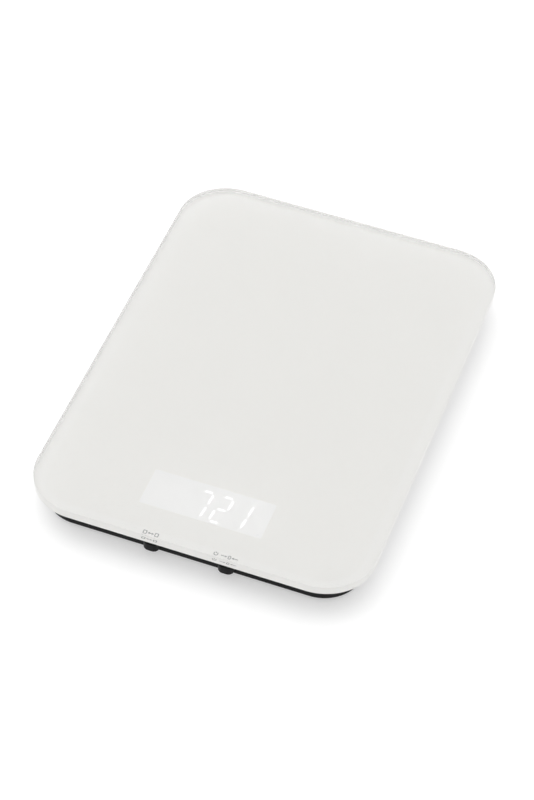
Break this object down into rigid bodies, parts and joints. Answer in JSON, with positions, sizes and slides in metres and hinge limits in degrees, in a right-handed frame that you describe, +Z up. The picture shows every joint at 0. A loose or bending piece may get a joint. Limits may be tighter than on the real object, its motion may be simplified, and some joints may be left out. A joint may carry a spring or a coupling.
{
  "type": "kitchen scale",
  "caption": "Slim kitchen scale: a white glass platform on a load cell over a thin black base, with a hidden display and push buttons under the front edge.",
  "frame": {"origin": "on the table, under the middle of the platform", "axes": "+Z up; +Y along the platform's length, away from the display and buttons; +X to the right as the display is read"},
  "size_m": [0.15, 0.21, 0.016],
  "materials": {
    "platform_glass": "white print behind satin toughened glass, opaque",
    "housing_black": "fine moulded texture",
    "button_black": "smooth satin",
    "foot_rubber": "matt",
    "pad_foam": "white foam tape",
    "bracket_steel": "zinc plated sheet",
    "screw_steel": "zinc plated",
    "cell_aluminium": "machined",
    "sealant_white": "soft silicone",
    "lead_red": "soft insulation",
    "lead_black": "soft insulation",
    "lead_white": "soft insulation",
    "lead_green": "soft insulation",
    "board_green": "solder mask",
    "chip_black": "moulded epoxy",
    "socket_cream": "nylon",
    "display_white": "white reflector",
    "display_face": "diffusing film",
    "coin_steel": "polished can",
    "contact_brass": "bright"
  },
  "bodies": {
    "base": {"board_screw_1": "screw_steel", "board_screw_2": "screw_steel", "case_screw_back_left": "screw_steel", "case_screw_back_right": "screw_steel", "case_screw_front_left": "screw_steel", "case_screw_front_right": "screw_steel", "case_screw_middle_left": "screw_steel", "case_screw_middle_right": "screw_steel", "cell_base_spacer": "bracket_steel", "cell_screw_1": "screw_steel", "cell_screw_2": "screw_steel", "circuit_board": "board_green", "coin_cell_1": "coin_steel", "coin_cell_2": "coin_steel", "controller_chip": "chip_black", "display_block": "display_white", "display_driver": "chip_black", "display_face": "display_face", "foot_back_left": "foot_rubber", "foot_back_right": "foot_rubber", "foot_front_left": "foot_rubber", "foot_front_right": "foot_rubber", "gauge_lead_black": "lead_black", "gauge_lead_green": "lead_green", "gauge_lead_red": "lead_red", "gauge_lead_white": "lead_white", "gauge_sealant": "sealant_white", "lead_socket": "socket_cream", "leaf_contact_1": "contact_brass", "leaf_contact_2": "contact_brass", "load_cell": "cell_aluminium", "lower_housing": "housing_black", "side_contact_1": "contact_brass", "side_contact_2": "contact_brass", "supply_lead_negative": "lead_black", "supply_lead_positive": "lead_red", "tare_switch": "chip_black", "unit_switch": "chip_black", "upper_cover": "housing_black"},
    "platform": {"adhesive_pad_back_left": "pad_foam", "adhesive_pad_back_right": "pad_foam", "adhesive_pad_front_left": "pad_foam", "adhesive_pad_front_right": "pad_foam", "glass_platter": "platform_glass", "platter_bracket": "bracket_steel", "platter_screw_1": "screw_steel", "platter_screw_2": "screw_steel", "platter_spacer": "bracket_steel"},
    "unit_key": {"unit_button": "button_black", "unit_switch_plunger": "socket_cream"},
    "tare_key": {"tare_button": "button_black", "tare_switch_plunger": "socket_cream"},
    "door": {"battery_door": "housing_black"}
  },
  "joints": [
    {"name": "platform_press", "type": "slide", "parent": "base", "child": "platform", "axis": [0, 0, -1], "range_m": [0, 0.0006], "stiffness_N_per_m": 90000, "springref_m": -0.00004, "deforming": ["load_cell"]},
    {"name": "unit_press", "type": "slide", "parent": "base", "child": "unit_key", "axis": [0, 1, 0], "range_m": [0, 0.0005], "stiffness_N_per_m": 2000, "springref_m": -0.0002},
    {"name": "tare_press", "type": "slide", "parent": "base", "child": "tare_key", "axis": [0, 1, 0], "range_m": [0, 0.0005], "stiffness_N_per_m": 2000, "springref_m": -0.0002},
    {"name": "door_hinge", "type": "hinge", "parent": "base", "child": "door", "pos_m": [0, 0.05495, 0.0022], "axis": [-1, 0, 0], "range_deg": [0, 100]}
  ]
}
